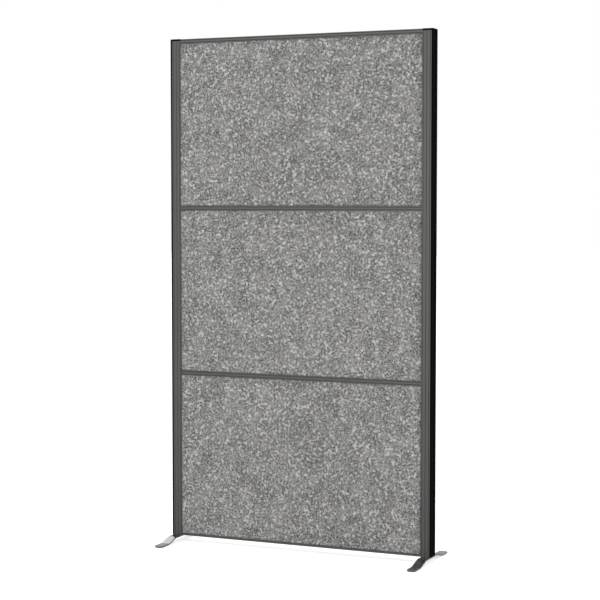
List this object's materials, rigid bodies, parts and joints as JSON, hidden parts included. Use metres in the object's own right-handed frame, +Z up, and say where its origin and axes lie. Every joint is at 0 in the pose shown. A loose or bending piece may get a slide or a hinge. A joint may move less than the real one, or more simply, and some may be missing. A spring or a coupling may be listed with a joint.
{
  "type": "partition wall",
  "caption": "Free-standing acoustic partition wall: slim metal frame, stacked felt-faced panels, side channels for linking and bent bar feet.",
  "frame": {"origin": "on the floor, midway between the two feet and in the middle of the wall's depth", "axes": "+Z up; +X along the wall, to the right of someone facing its front; +Y to the rear, square to the panels"},
  "size_m": [1.002, 0.344, 1.822],
  "materials": {
    "frame_metal": "satin",
    "felt": "matte",
    "absorber_core": "matte",
    "black_plastic": "matte",
    "foot_steel": "satin",
    "zinc_steel": "satin",
    "cast_aluminium": "matte",
    "pad_rubber": "matte"
  },
  "bodies": {
    "root": {"bottom_rail": "frame_metal", "lower_middle_rail": "frame_metal", "upper_middle_rail": "frame_metal", "top_rail": "frame_metal", "post_left": "frame_metal", "post_right": "frame_metal", "bottom_panel_front_felt": "felt", "bottom_panel_rear_felt": "felt", "middle_panel_front_felt": "felt", "middle_panel_rear_felt": "felt", "top_panel_front_felt": "felt", "top_panel_rear_felt": "felt", "bottom_panel_core": "absorber_core", "middle_panel_core": "absorber_core", "top_panel_core": "absorber_core", "link_strip_left": "black_plastic", "link_strip_right": "black_plastic", "top_cap_left": "black_plastic", "top_cap_right": "black_plastic", "foot_left": "foot_steel", "foot_right": "foot_steel", "foot_bolts_left": "zinc_steel", "foot_bolts_right": "zinc_steel", "anchor_screws_left": "zinc_steel", "anchor_screws_right": "zinc_steel", "rail_screws_left": "zinc_steel", "rail_screws_right": "zinc_steel", "foot_anchor_left": "cast_aluminium", "foot_anchor_right": "cast_aluminium", "foot_pads_left": "pad_rubber", "foot_pads_right": "pad_rubber"}
  },
  "joints": []
}
